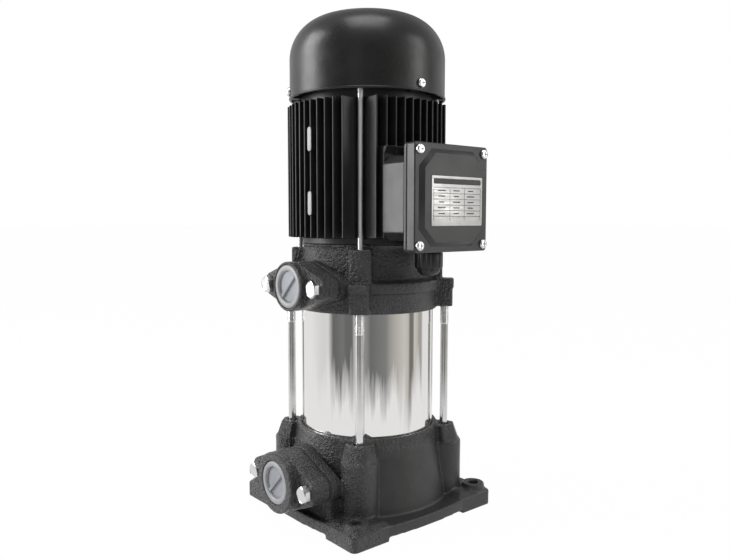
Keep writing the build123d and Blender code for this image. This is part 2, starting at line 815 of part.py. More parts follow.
with BuildPart() as shaft:
    for bottom, top, radius in (
        (shaft_bottom, stage_top, shaft_r),
        (stage_top, rotor_shaft_low, seal_shaft_r),
        (rotor_shaft_low, rotor_shaft_high, rotor_shaft_r),
        (rotor_shaft_high, upper_bearing_z + bearing_width + 1, seal_shaft_r),
        (upper_bearing_z + bearing_width + 1, shaft_top, fan_shaft_r),
    ):
        with BuildSketch(Plane.XY.offset(bottom)):
            Circle(radius)
        extrude(amount=top - bottom)
    chamfer(shaft.faces().sort_by(Axis.Z)[-1].edges(), 0.8)
pieces["shaft"] = shaft

with BuildPart() as wear_sleeve:
    add(ring_body(sleeve_journal_r, shaft_r + slip, sleeve_low, stage_bottom))
pieces["wear_sleeve"] = wear_sleeve

with BuildPart() as shaft_nut:
    with BuildSketch(Plane.XY.offset(nut_bottom)):
        RegularPolygon(m12_flats / 2, 6, major_radius=False)
        Circle(shaft_r + slip, mode=Mode.SUBTRACT)
    extrude(amount=shaft_nut_height)
pieces["shaft_nut"] = shaft_nut

with BuildPart() as seal_seat:
    add(ring_body(seal_outer_r - slip, seal_shaft_r + air, seal_face_z, seal_wall_top))
pieces["seal_seat"] = seal_seat

with BuildPart() as seal_ring:
    add(ring_body(seal_ring_r, seal_shaft_r + slip, ring_bottom_z, seal_face_z - face_gap))
pieces["seal_ring"] = seal_ring

bellows_folds = 5
with BuildPart() as seal_bellows:
    add(ring_body(bellows_r, seal_shaft_r + slip, ring_bottom_z - bellows_length, ring_bottom_z))
    fold_pitch = bellows_length / bellows_folds
    for fold in range(bellows_folds):
        fold_z = ring_bottom_z - bellows_length + (fold + 0.5) * fold_pitch
        with BuildSketch(Plane.XZ):
            with Locations((bellows_r, fold_z)):
                Circle(fold_pitch * 0.32)
        revolve(axis=Axis.Z, mode=Mode.SUBTRACT)
pieces["seal_bellows"] = seal_bellows

# ================================================================ ball bearings
pitch_r = (seal_shaft_r + bearing_outer_r) / 2
groove_r = ball_r + ball_play
for place, bottom in (("lower", lower_bearing_z), ("upper", upper_bearing_z)):
    middle = bottom + bearing_width / 2
    with BuildPart() as outer_ring:
        add(ring_body(bearing_outer_r, bearing_outer_r - bearing_race, bottom, bottom + bearing_width))
        with BuildSketch(Plane.XZ):
            with Locations((pitch_r, middle)):
                Circle(groove_r)
        revolve(axis=Axis.Z, mode=Mode.SUBTRACT)
    pieces[f"{place}_bearing_outer"] = outer_ring
    with BuildPart() as inner_ring:
        inner_r = seal_shaft_r + slip
        add(ring_body(inner_r + bearing_race, inner_r, bottom, bottom + bearing_width))
        with BuildSketch(Plane.XZ):
            with Locations((pitch_r, middle)):
                Circle(groove_r)
        revolve(axis=Axis.Z, mode=Mode.SUBTRACT)
    pieces[f"{place}_bearing_inner"] = inner_ring
    with BuildPart() as ball_cage:
        add(ring_body(pitch_r + 0.9, pitch_r - 0.9, middle - 2.0, middle + 2.0))
        with Locations(Plane.XY.offset(middle)):
            with PolarLocations(pitch_r, ball_count):
                Sphere(ball_r)
    pieces[f"{place}_bearing_balls"] = ball_cage

# ================================================================ motor
boss_r_bearing = bearing_outer_r + bearing_wall

with BuildPart() as motor_flange:
    # lower end shield: plate inside the ring of rods, spigot into the housing, bearing boss
    with BuildSketch(Plane.XY.offset(neck_top)):
        Circle(flange_r)
    extrude(amount=flange_thickness)
    add(ring_body(housing_bore_r - slip, housing_bore_r - 5, flange_top, flange_top + 4.0))
    with BuildSketch(Plane.XY.offset(neck_top)):
        Circle(boss_r_bearing)
    extrude(amount=bearing_lip + bearing_width)
    with BuildSketch(Plane.XY.offset(lower_bearing_z)):
        Circle(bearing_outer_r + slip)
    extrude(amount=bearing_width, mode=Mode.SUBTRACT)
    with BuildSketch(Plane.XY.offset(neck_top)):
        Circle(seal_shaft_r + 2)
    extrude(amount=flange_thickness, mode=Mode.SUBTRACT)
pieces["motor_flange"] = motor_flange

fin_places = [(i - (fins_per_side - 1) / 2) * fin_pitch for i in range(fins_per_side)]
pad_fin = fin_places[fins_per_side // 2 + 1]
seat_half_y = box_neck_y / 2 - 2.0
seat_top = box_neck_bottom + box_neck_z
box_cut_half_y = 42.0
box_cut_above = 3.0

with BuildPart() as motor_housing:
    with BuildSketch(Plane.XY.offset(flange_top)):
        Circle(housing_core_r)
    extrude(amount=housing_length)
    # parallel fins grouped on the four sides, their tips along a bowed line
    with BuildSketch(Plane.XY.offset(flange_top)):
        for quarter in range(4):
            for place in fin_places:
                reach = fin_tip - place**2 / fin_fall
                with Locations(Location((0, 0, 0), 90 * quarter)):
                    with Locations(((housing_bore_r + reach) / 2 - 6, place)):
                        Rectangle(reach - housing_bore_r + 12, fin_thickness)
    extrude(amount=housing_length)
    # two oblong pads on a fin of the port side
    for pad_z in (flange_top + fin_pad_low, flange_top + fin_pad_high):
        with BuildSketch(port_plane(fin_tip - 6.0, pad_z)):
            with Locations((pad_fin, 0)):
                SlotOverall(fin_pad_length, fin_pad_width, rotation=90)
        extrude(amount=6.3)
    # fins cut away behind the terminal box
    with BuildSketch(Plane.XY.offset(flange_top)):
        with Locations((neck_face_x + fin_tip / 2, box_centre_y)):
            Rectangle(fin_tip, 2 * box_cut_half_y)
    extrude(amount=seat_top + box_cut_above - flange_top, mode=Mode.SUBTRACT)
    # seat for the terminal box, with a sloped pad above it
    with BuildSketch(Plane.XZ.offset(-box_centre_y)):
        with BuildLine():
            Polyline(
                (housing_bore_r + 3, flange_top),
                (neck_face_x, flange_top),
                (neck_face_x, seat_top + box_cut_above),
                (fin_tip - 2, seat_top + box_cut_above + 6),
                (housing_bore_r + 3, seat_top + box_cut_above + 6),
                close=True,
            )
        make_face()
    extrude(amount=seat_half_y, both=True)
    with BuildSketch(Plane.XY.offset(flange_top)):
        Circle(housing_bore_r)
    extrude(amount=housing_length, mode=Mode.SUBTRACT)
    # wire way from the windings to the terminal box
    wire_way = Plane(
        origin=(housing_bore_r - 4, box_centre_y, seat_top - 15), x_dir=(0, 1, 0), z_dir=(1, 0, 0)
    )
    with BuildSketch(wire_way):
        Circle(9.0)
    extrude(amount=neck_face_x - housing_bore_r + 5, mode=Mode.SUBTRACT)
pieces["motor_housing"] = motor_housing

with BuildPart() as stator_core:
    add(ring_body(housing_bore_r - slip, stator_bore_r, stator_bottom, stator_top))
    with BuildSketch(Plane.XY.offset(stator_bottom)):
        with PolarLocations(stator_bore_r + 6.0, slot_count):
            Rectangle(14.0, 3.2)
    extrude(amount=stator_length, mode=Mode.SUBTRACT)
pieces["stator_core"] = stator_core

with BuildPart() as stator_windings:
    # end turns above and below the core
    for bottom in (stator_bottom - winding_height, stator_top):
        with BuildSketch(Plane.XZ.offset(0)):
            with Locations((stator_bore_r + 11, bottom + winding_height / 2)):
                RectangleRounded(14.0, winding_height, 3.0)
        revolve(axis=Axis.Z)
pieces["stator_windings"] = stator_windings

with BuildPart() as rotor_core:
    # laminated rotor with a cast cage: end rings carry short blades
    add(ring_body(stator_bore_r - air, rotor_shaft_r + slip, stator_bottom, stator_top))
    add(ring_body(stator_bore_r - 4, rotor_shaft_r + slip, stator_bottom - 5, stator_top + 5))
    for bottom in (stator_bottom - 11, stator_top + 5):
        with BuildSketch(Plane.XY.offset(bottom)):
            with PolarLocations(stator_bore_r - 8, 8):
                Rectangle(7.0, 1.8)
        extrude(amount=6.0)
pieces["rotor_core"] = rotor_core

lug_angles = (0, 120, 240)
lug_depth = 14.0
cover_bore_r = cover_r - cover_wall
ear_bottom = cover_rim_z + 0.5
ear_top = shield_top + shield_ear_rise

with BuildPart() as upper_end_shield:
    # plate with spigot, bearing boss, rod ears above the rim and three lugs for the fan cover
    with BuildSketch(Plane.XY.offset(housing_top)):
        Circle(shield_r)
    extrude(amount=shield_thickness)
    with BuildSketch(Plane.XY.offset(ear_bottom)):
        with Locations(*motor_rod_points):
            Circle(motor_ear_r)
        for angle in diagonals:
            with Locations(Location((0, 0, 0), angle)):
                with Locations((motor_rod_circle_r - motor_ear_r, 0)):
                    Rectangle(2 * motor_ear_r, 2 * motor_ear_r)
    extrude(amount=ear_top - ear_bottom)
    add(ring_body(housing_bore_r - slip, housing_bore_r - 5, housing_top - 4.0, housing_top))
    with BuildSketch(Plane.XY.offset(upper_bearing_z - 1)):
        Circle(boss_r_bearing)
    extrude(amount=shield_top - upper_bearing_z + 1)
    with BuildSketch(Plane.XY.offset(ear_bottom)):
        for angle in lug_angles:
            with Locations(Location((0, 0, 0), angle)):
                with Locations((cover_bore_r - slip - 0.1 - lug_depth / 2, 0)):
                    Rectangle(lug_depth, cover_lug_width)
    extrude(amount=cover_lug_height)
    with BuildSketch(Plane.XY.offset(housing_top - 4)):
        Circle(cover_bore_r - slip)
    extrude(amount=ear_bottom + cover_lug_height + 5 - housing_top, mode=Mode.INTERSECT)
    with BuildSketch(Plane.XY.offset(upper_bearing_z - 1)):
        Circle(bearing_outer_r + slip)
    extrude(amount=bearing_width + 1, mode=Mode.SUBTRACT)
    with BuildSketch(Plane.XY.offset(housing_top)):
        Circle(seal_shaft_r + 1.5)
        with Locations(*motor_rod_points):
            Circle(motor_rod_d / 2 + rod_clearance)
    extrude(amount=ear_top - housing_top, mode=Mode.SUBTRACT)
    for angle in lug_angles:
        lug_x, lug_y = on_circle(cover_bore_r - lug_depth, angle)
        outward = (cos(angle * pi / 180), sin(angle * pi / 180), 0)
        with BuildSketch(Plane(origin=(lug_x, lug_y, cover_screw_z), z_dir=outward)):
            Circle(cover_screw_d / 2 + slip)
        extrude(amount=lug_depth, mode=Mode.SUBTRACT)
pieces["upper_end_shield"] = upper_end_shield

with BuildPart() as motor_rods:
    # long screws: head on the upper shield, thread in the lugs of the head casting
    with BuildSketch(Plane.XY.offset(lug_top)):
        with Locations(*motor_rod_points):
            Circle(motor_rod_d / 2)
    extrude(amount=ear_top - lug_top)
    with BuildSketch(Plane.XY.offset(lug_top)):
        with Locations(*motor_rod_points):
            Circle(motor_rod_thread_d / 2)
    extrude(amount=-20)
    with BuildSketch(Plane.XY.offset(ear_top)):
        with Locations(*motor_rod_points):
            RegularPolygon(motor_rod_head_flats / 2, 6, major_radius=False)
    extrude(amount=motor_rod_head_height)
pieces["motor_rods"] = motor_rods

# ================================================================ fan and its cover
with BuildPart() as cooling_fan:
    add(ring_body(fan_disc_r, fan_shaft_r + slip, fan_bottom, fan_bottom + fan_disc))
    add(ring_body(fan_hub_r, fan_shaft_r + slip, fan_bottom, fan_bottom + fan_height - 2))
    with BuildSketch(Plane.XY.offset(fan_bottom)):
        with PolarLocations((fan_hub_r + fan_r) / 2, fan_blades):
            Rectangle(fan_r - fan_hub_r + 3, 2.2)
    extrude(amount=fan_height)
pieces["cooling_fan"] = cooling_fan


def cover_profile(inset):
    """Half profile of the cover's outside, or of its inside when inset by the wall."""
    wall_r = cover_r - inset
    shoulder_r = cover_shoulder_r - inset
    crown_r = cover_r - cover_shoulder_r
    crown_z = cover_shoulder_z + shoulder_r
    half = sqrt(0.5) * shoulder_r
    with BuildSketch(Plane.XZ, mode=Mode.PRIVATE) as profile:
        with BuildLine():
            Line((0, cover_rim_z), (wall_r, cover_rim_z))
            Line((wall_r, cover_rim_z), (wall_r, cover_shoulder_z))
            ThreePointArc(
                (wall_r, cover_shoulder_z),
                (crown_r + half, cover_shoulder_z + half),
                (crown_r, crown_z),
            )
            Line((crown_r, crown_z), (0, cover_top - inset))
            Line((0, cover_top - inset), (0, cover_rim_z))
        make_face()
    return profile.sketch


slot_rings = [(12.0 + 7.0 * i, 16.0 + 7.0 * i) for i in range(5)]
spoke_count = 6
spoke_width = 5.0

with BuildPart() as fan_cover:
    add(cover_profile(0))
    revolve(axis=Axis.Z)
    with BuildSketch(Plane.XZ):
        add(cover_profile(cover_wall))
    revolve(axis=Axis.Z, mode=Mode.SUBTRACT)
    # rolled rim
    with BuildSketch(Plane.XZ):
        with Locations((cover_r - cover_bead_r, cover_rim_z + cover_bead_r)):
            Circle(cover_bead_r)
    revolve(axis=Axis.Z)
    # intake grille in the crown: ring slots between spokes
    with BuildSketch(Plane.XY.offset(cover_top + 1)):
        for inner, outer in reversed(slot_rings):
            Circle(outer)
            Circle(inner, mode=Mode.SUBTRACT)
        for spoke in range(spoke_count // 2):
            Rectangle(
                2 * cover_r, spoke_width, rotation=360 * spoke / spoke_count, mode=Mode.SUBTRACT
            )
    extrude(amount=cover_shoulder_z - cover_top - 1, mode=Mode.SUBTRACT)
    for angle in lug_angles:
        hole_x, hole_y = on_circle(cover_bore_r - 2, angle)
        outward = (cos(angle * pi / 180), sin(angle * pi / 180), 0)
        with BuildSketch(Plane(origin=(hole_x, hole_y, cover_screw_z), z_dir=outward)):
            Circle(cover_screw_d / 2 + 0.2)
        extrude(amount=6, mode=Mode.SUBTRACT)
pieces["fan_cover"] = fan_cover


def pan_screw(plane, head_d, shank_d, shank_length):
    """Pan head screw with a cross recess, head standing up from the plane."""
    head_height = 0.32 * head_d
    with BuildPart(mode=Mode.PRIVATE) as screw:
        with BuildSketch(plane):
            Circle(head_d / 2)
        extrude(amount=head_height)
        top = plane.offset(head_height)
        rim = screw.edges().sort_by(lambda e: (e.center() - top.origin).length)[0]
        fillet(rim, head_height * 0.6)
        with BuildSketch(top):
            Rectangle(head_d * 0.55, head_d * 0.13)
            Rectangle(head_d * 0.13, head_d * 0.55)
        extrude(amount=-head_height * 0.6, mode=Mode.SUBTRACT)
        with BuildSketch(plane):
            Circle(shank_d / 2)
        extrude(amount=-shank_length)
    return screw.part


with BuildPart() as fan_cover_screws:
    for angle in lug_angles:
        head_x, head_y = on_circle(cover_r, angle)
        outward = (cos(angle * pi / 180), sin(angle * pi / 180), 0)
        seat = Plane(origin=(head_x, head_y, cover_screw_z), z_dir=outward)
        add(pan_screw(seat, cover_screw_head_d, cover_screw_d, 9.0))
pieces["fan_cover_screws"] = fan_cover_screws


# ================================================================ terminal box
def side_plane(x, z):
    """Plane facing +X through the middle of the box: its x runs along Y and its y runs up."""
    return Plane(origin=(x, box_centre_y, z), x_dir=(0, 1, 0), z_dir=(1, 0, 0))


def neck_outline(inset):
    """Section of the box behind its rim: a rectangle with cut corners, inset by a wall."""
    with BuildSketch(mode=Mode.PRIVATE) as outline:
        Rectangle(box_neck_y - 2 * inset, box_neck_z - 2 * inset)
        chamfer(outline.vertices(), box_neck_chamfer)
    return outline.sketch


screw_grid = GridLocations(lid_screw_spacing_y, lid_screw_spacing_z, 2, 2)

gland_seat_z = box_neck_bottom
gland_y = box_centre_y

with BuildPart() as terminal_box:
    with BuildSketch(side_plane(neck_face_x, box_centre_z)):
        add(neck_outline(0))
    extrude(amount=box_face_x - neck_face_x)
    with BuildSketch(side_plane(box_rim_x, box_centre_z)):
        RectangleRounded(box_size_y, box_size_z, box_corner_r)
    extrude(amount=box_rim_depth)
    # hollow inside, wire way at the back, gland hole below, lid screw holes
    with BuildSketch(side_plane(neck_face_x + box_wall, box_centre_z)):
        add(neck_outline(box_wall))
    extrude(amount=box_face_x - neck_face_x, mode=Mode.SUBTRACT)
    with BuildSketch(side_plane(neck_face_x, seat_top - 15)):
        Circle(9.0)
    extrude(amount=box_wall, mode=Mode.SUBTRACT)
    with BuildSketch(Plane.XY.offset(gland_seat_z)):
        with Locations((gland_x, gland_y)):
            Circle(gland_thread_r + slip)
    extrude(amount=box_wall, mode=Mode.SUBTRACT)
    with BuildSketch(side_plane(box_rim_x, box_centre_z)):
        with screw_grid:
            Circle(lid_screw_d / 2 + slip)
    extrude(amount=box_rim_depth, mode=Mode.SUBTRACT)
pieces["terminal_box"] = terminal_box

with BuildPart() as lid_gasket:
    with BuildSketch(side_plane(box_face_x, box_centre_z)):
        RectangleRounded(box_size_y - 1.0, box_size_z - 1.0, box_corner_r - 0.5)
        add(neck_outline(box_wall), mode=Mode.SUBTRACT)
        with screw_grid:
            Circle(lid_screw_d / 2 + 0.3, mode=Mode.SUBTRACT)
    extrude(amount=lid_gasket_thickness)
pieces["lid_gasket"] = lid_gasket

with BuildPart() as terminal_lid:
    with BuildSketch(side_plane(lid_back_x, box_centre_z)):
        RectangleRounded(box_size_y, box_size_z, box_corner_r)
    extrude(amount=lid_thickness)
    chamfer(terminal_lid.faces().sort_by(Axis.X)[-1].edges(), 0.8)
    # raised panel with cut corners and sloping sides
    with BuildSketch(side_plane(lid_face_x, box_centre_z)) as panel:
        Rectangle(lid_panel_y, lid_panel_z)
        chamfer(panel.vertices(), lid_panel_chamfer)
    extrude(amount=lid_panel_rise, taper=45)
    # hollow back of the lid
    with BuildSketch(side_plane(lid_back_x, box_centre_z)):
        add(neck_outline(box_wall))
    extrude(amount=lid_thickness - lid_wall, mode=Mode.SUBTRACT)
    with BuildSketch(side_plane(lid_back_x, box_centre_z)):
        with screw_grid:
            Circle(lid_screw_d / 2 + 0.3)
    extrude(amount=lid_thickness + lid_panel_rise, mode=Mode.SUBTRACT)
pieces["terminal_lid"] = terminal_lid

with BuildPart() as lid_screws:
    for screw_y in (-lid_screw_spacing_y / 2, lid_screw_spacing_y / 2):
        for screw_z in (-lid_screw_spacing_z / 2, lid_screw_spacing_z / 2):
            seat = Plane(
                origin=(lid_face_x, box_centre_y + screw_y, box_centre_z + screw_z),
                x_dir=(0, 1, 0),
                z_dir=(1, 0, 0),
            )
            add(pan_screw(seat, lid_screw_head_d, lid_screw_d, lid_face_x - box_rim_x - 0.5))
pieces["lid_screws"] = lid_screws

with BuildPart() as data_plate:
    with BuildSketch(side_plane(lid_face_x + lid_panel_rise, label_z)):
        with Locations((label_shift, 0)):
            RectangleRounded(label_size_y, label_size_z, 1.0)
    extrude(amount=label_thickness)
pieces["data_plate"] = data_plate

block_x = neck_face_x + box_wall

with BuildPart() as terminal_block:
    # moulded block with six studs, screwed to the floor of the box
    with BuildSketch(side_plane(block_x, box_centre_z - 4)):
        RectangleRounded(block_y, block_z, 2.0)
    extrude(amount=9.0)
    with BuildSketch(side_plane(block_x + 9, box_centre_z - 4)):
        with GridLocations(stud_pitch_y, stud_pitch_z, 3, 2):
            RegularPolygon(3.5, 6, major_radius=False)
    extrude(amount=3.0)
    with BuildSketch(side_plane(block_x + 12, box_centre_z - 4)):
        with GridLocations(stud_pitch_y, stud_pitch_z, 3, 2):
            Circle(2.0)
    extrude(amount=4.0)
pieces["terminal_block"] = terminal_block

# ================================================================ cable gland
gland_body_bottom = gland_seat_z - gland_hex_height

with BuildPart() as gland_body:
    with BuildSketch(Plane.XY.offset(gland_body_bottom)):
        with Locations((gland_x, gland_y)):
            RegularPolygon(gland_flats / 2, 6, major_radius=False)
    extrude(amount=gland_hex_height)
    with BuildSketch(Plane.XY.offset(gland_body_bottom)):
        with Locations((gland_x, gland_y)):
            Circle(gland_thread_r)
    extrude(amount=box_neck_bottom + box_wall + 3 - gland_body_bottom)
    with BuildSketch(Plane.XY.offset(gland_body_bottom)):
        with Locations((gland_x, gland_y)):
            Circle(cable_r)
    extrude(amount=40, mode=Mode.SUBTRACT)
pieces["gland_body"] = gland_body

gland_nut_height = 14.0
gland_dome = 6.0
with BuildPart() as gland_nut:
    # ribbed cap drawn in to a dome round the cable hole
    with BuildSketch(Plane.XY.offset(gland_body_bottom)):
        with Locations((gland_x, gland_y)):
            RegularPolygon(gland_flats / 2, 6, major_radius=False, rotation=30)
    extrude(amount=-gland_nut_height)
    with BuildSketch(Plane.XY.offset(gland_body_bottom - gland_nut_height)):
        with Locations((gland_x, gland_y)):
            Circle(gland_flats / 2 - 0.8)
    extrude(amount=-gland_dome, taper=30)
    with BuildSketch(Plane.XY.offset(gland_body_bottom)):
        with Locations((gland_x, gland_y)):
            Circle(cable_r)
    extrude(amount=-gland_nut_height - gland_dome, mode=Mode.SUBTRACT)
pieces["gland_nut"] = gland_nut

os.makedirs("parts", exist_ok=True)
for name, piece in pieces.items():
    piece.part.label = name
    export_step(piece.part, f"parts/{name}.step")
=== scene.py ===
import json
import math

import bmesh
import bpy
from mathutils import Matrix, Vector

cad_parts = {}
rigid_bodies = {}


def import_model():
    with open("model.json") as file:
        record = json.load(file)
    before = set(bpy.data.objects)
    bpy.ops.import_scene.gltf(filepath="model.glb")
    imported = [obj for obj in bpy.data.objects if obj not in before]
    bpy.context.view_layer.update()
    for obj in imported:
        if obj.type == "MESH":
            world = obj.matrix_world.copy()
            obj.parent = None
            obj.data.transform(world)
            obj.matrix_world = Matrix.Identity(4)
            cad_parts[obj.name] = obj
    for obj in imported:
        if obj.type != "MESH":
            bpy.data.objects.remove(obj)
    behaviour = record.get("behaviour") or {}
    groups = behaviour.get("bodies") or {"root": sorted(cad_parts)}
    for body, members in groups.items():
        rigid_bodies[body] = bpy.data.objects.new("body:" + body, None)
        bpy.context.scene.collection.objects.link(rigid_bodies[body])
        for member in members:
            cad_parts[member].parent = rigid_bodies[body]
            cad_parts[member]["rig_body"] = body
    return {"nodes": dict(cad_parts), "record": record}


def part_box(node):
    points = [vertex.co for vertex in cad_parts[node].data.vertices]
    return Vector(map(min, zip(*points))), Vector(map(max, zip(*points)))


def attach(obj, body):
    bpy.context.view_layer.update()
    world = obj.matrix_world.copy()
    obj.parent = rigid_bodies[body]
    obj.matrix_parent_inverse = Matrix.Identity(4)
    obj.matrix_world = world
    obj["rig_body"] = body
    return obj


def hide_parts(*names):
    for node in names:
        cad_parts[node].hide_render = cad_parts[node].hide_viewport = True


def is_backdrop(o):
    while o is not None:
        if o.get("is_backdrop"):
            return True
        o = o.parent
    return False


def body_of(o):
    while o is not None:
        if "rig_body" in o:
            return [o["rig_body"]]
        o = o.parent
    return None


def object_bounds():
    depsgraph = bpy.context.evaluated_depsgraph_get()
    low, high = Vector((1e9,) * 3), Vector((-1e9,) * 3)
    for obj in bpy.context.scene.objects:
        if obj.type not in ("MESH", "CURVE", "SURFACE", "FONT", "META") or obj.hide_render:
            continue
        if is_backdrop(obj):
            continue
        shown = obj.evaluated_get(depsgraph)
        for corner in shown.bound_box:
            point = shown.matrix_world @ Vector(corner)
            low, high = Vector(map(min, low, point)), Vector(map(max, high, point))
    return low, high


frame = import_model()
cad_low, cad_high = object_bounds()
nodes = frame["nodes"]
MM = 0.001

# ---------------------------------------------------------------- camera
CAMERA_AZIMUTH = math.radians(50.2)
CAMERA_DISTANCE = 0.663
CAMERA_HEIGHT = 0.2671
CAMERA_PITCH = 0.0845
CAMERA_YAW = 0.0031
CAMERA_LENS = 35.0
SENSOR_WIDTH = 36.0

scene = bpy.context.scene
camera_data = bpy.data.cameras.new("camera")
camera_data.lens = CAMERA_LENS
camera_data.sensor_width = SENSOR_WIDTH
camera = bpy.data.objects.new("camera", camera_data)
camera.location = (
    CAMERA_DISTANCE * math.sin(CAMERA_AZIMUTH),
    -CAMERA_DISTANCE * math.cos(CAMERA_AZIMUTH),
    CAMERA_HEIGHT,
)
camera.rotation_euler = (math.pi / 2 - CAMERA_PITCH, 0, CAMERA_AZIMUTH + CAMERA_YAW)
scene.collection.objects.link(camera)
scene.camera = camera


# ---------------------------------------------------------------- node helpers
class Nodes:
    """A node tree with short calls for the few node kinds that the materials use."""

    def __init__(self, tree):
        self.tree = tree
        self.nodes = tree.nodes
        self.links = tree.links

    def add(self, kind, values=None, **settings):
        node = self.nodes.new(kind)
        for key, value in settings.items():
            setattr(node, key, value)
        for key, value in (values or {}).items():
            if hasattr(value, "is_linked"):
                self.links.new(value, node.inputs[key])
            else:
                node.inputs[key].default_value = value
        return node

    def coords(self, scale=(1, 1, 1)):
        source = self.add("ShaderNodeTexCoord").outputs["Object"]
        mapped = self.add("ShaderNodeMapping", {"Vector": source})
        mapped.inputs["Scale"].default_value = scale
        return mapped.outputs["Vector"]

    def noise(self, scale, detail=2.0, roughness=0.5, vector=None):
        values = {"Scale": scale, "Detail": detail, "Roughness": roughness}
        node = self.add("ShaderNodeTexNoise", values)
        self.links.new(vector or self.coords(), node.inputs["Vector"])
        return node.outputs["Fac"]

    def spread(self, value, low, high, start=0.3, end=0.7):
        """Maps a value that lies about the middle of 0 to 1 onto low to high."""
        node = self.add(
            "ShaderNodeMapRange",
            {"Value": value, "From Min": start, "From Max": end, "To Min": low, "To Max": high},
        )
        return node.outputs["Result"]

    def math(self, operation, first, second=0.0):
        return self.add("ShaderNodeMath", {0: first, 1: second}, operation=operation).outputs[0]

    def mix(self, factor, first, second):
        node = self.add("ShaderNodeMix", data_type="RGBA")
        for socket, value in ((0, factor), (6, first), (7, second)):
            if hasattr(value, "is_linked"):
                self.links.new(value, node.inputs[socket])
            else:
                node.inputs[socket].default_value = value
        return node.outputs[2]

    def bump(self, height, distance, below=None):
        node = self.add("ShaderNodeBump", {"Height": height, "Distance": distance, "Strength": 1.0})
        if below is not None:
            self.links.new(below, node.inputs["Normal"])
        return node.outputs["Normal"]


def grey(value, tint=(1.0, 1.0, 1.0)):
    return (value * tint[0], value * tint[1], value * tint[2], 1.0)


def material(name, **sockets):
    """New material with one Principled shader, and its nodes to dress it."""
    made = bpy.data.materials.new(name)
    made.use_nodes = True
    tree = Nodes(made.node_tree)
    shader = made.node_tree.nodes["Principled BSDF"]
    for key, value in sockets.items():
        shader.inputs[key.replace("_", " ")].default_value = value
    return made, tree, shader


def dress(tree, shader, colour, rough, normal):
    """Joins the three outputs that every finish here makes to the shader."""
    tree.links.new(colour, shader.inputs["Base Color"])
    tree.links.new(rough, shader.inputs["Roughness"])
    tree.links.new(normal, shader.inputs["Normal"])


def paint(name, light, dark, rough, grain, grain_depth, sweep_depth):
    """Paint over metal: a grain of its own size over slow sweeps, its roughness wandering with the
    grain and the blotches.
    """
    made, tree, shader = material(name, IOR=1.5)
    fine = tree.noise(grain, detail=3.0, roughness=0.55)
    blotch = tree.noise(45.0, detail=3.0)
    sweep = tree.noise(160.0, detail=2.0)
    colour = tree.mix(tree.spread(blotch, 0.0, 1.0), grey(dark), grey(light))
    mixed = tree.math("ADD", tree.spread(blotch, -0.05, 0.05), tree.spread(fine, -0.06, 0.06))
    normal = tree.bump(fine, grain_depth, below=tree.bump(sweep, sweep_depth))
    dress(tree, shader, colour, tree.math("ADD", mixed, rough), normal)
    return made


# the castings' paint is coarse from the first to the second of these, in metres
COARSE_PORTS = (-0.046, -0.062)
COARSE_TOPS = (0.062, 0.074)
GLOSS_GAIN = -0.24
FINE_DEPTH = 0.00024
LUMP_DEPTH = 0.0026


def cast_finish(name, light, dark):
    """Thick paint over rough iron: coarse and glossy round the ports, the head and the column tops."""
    made, tree, shader = material(name, IOR=1.5)
    place = tree.add("ShaderNodeSeparateXYZ", {0: tree.coords()})
    smooth_y, coarse_y = COARSE_PORTS
    ports = tree.spread(place.outputs[1], 1.0, 0.0, coarse_y, smooth_y)
    tops = tree.spread(place.outputs[2], 0.0, 1.0, *COARSE_TOPS)
    patch = tree.spread(tree.noise(30.0, detail=3.0), 0.35, 1.0, 0.35, 0.6)
    coarse = tree.math("MULTIPLY", tree.math("MAXIMUM", ports, tops), patch)
    fine = tree.noise(900.0, detail=3.0, roughness=0.55)
    blobs = tree.noise(460.0, detail=2.0, roughness=0.7)
    blotch = tree.noise(45.0, detail=3.0)
    colour = tree.mix(tree.spread(blotch, 0.0, 1.0), grey(dark), grey(light))
    dull = tree.math("ADD", tree.spread(blotch, 0.34, 0.42), tree.spread(fine, -0.05, 0.05))
    gloss = tree.math("MULTIPLY", coarse, GLOSS_GAIN)
    lumps = tree.math("MULTIPLY", blobs, coarse)
    normal = tree.bump(lumps, LUMP_DEPTH, below=tree.bump(fine, FINE_DEPTH))
    dress(tree, shader, colour, tree.math("ADD", dull, gloss), normal)
    return made


def bare_metal(name, colour, rough, stretch, scale, depth, fade=0.86):
    """Bare metal with fine marks drawn out along one way."""
    made, tree, shader = material(name, Metallic=1.0)
    along = tree.coords(stretch)
    marks = tree.noise(scale, detail=4.0, roughness=0.6, vector=along)
    cloud = tree.noise(60.0, detail=2.0)
    dull = tuple(fade * c for c in colour[:3]) + (1.0,)
    shade = tree.mix(tree.spread(cloud, 0.0, 1.0), dull, colour)
    mixed = tree.math("ADD", tree.spread(marks, -0.3 * rough, 0.4 * rough), rough)
    dress(tree, shader, shade, mixed, tree.bump(marks, depth))
    return made


def moulding(name, colour, rough, grain, depth):
    """Moulded plastic or rubber with a fine even grain."""
    made, tree, shader = material(name, IOR=1.48)
    fine = tree.noise(grain, detail=3.0)
    cloud = tree.noise(50.0, detail=2.0)
    dark = tuple(0.8 * c for c in colour[:3]) + (1.0,)
    shade = tree.mix(tree.spread(cloud, 0.0, 1.0), dark, colour)
    mixed = tree.math("ADD", tree.spread(cloud, -0.05, 0.05), rough)
    dress(tree, shader, shade, mixed, tree.bump(fine, depth))
    return made


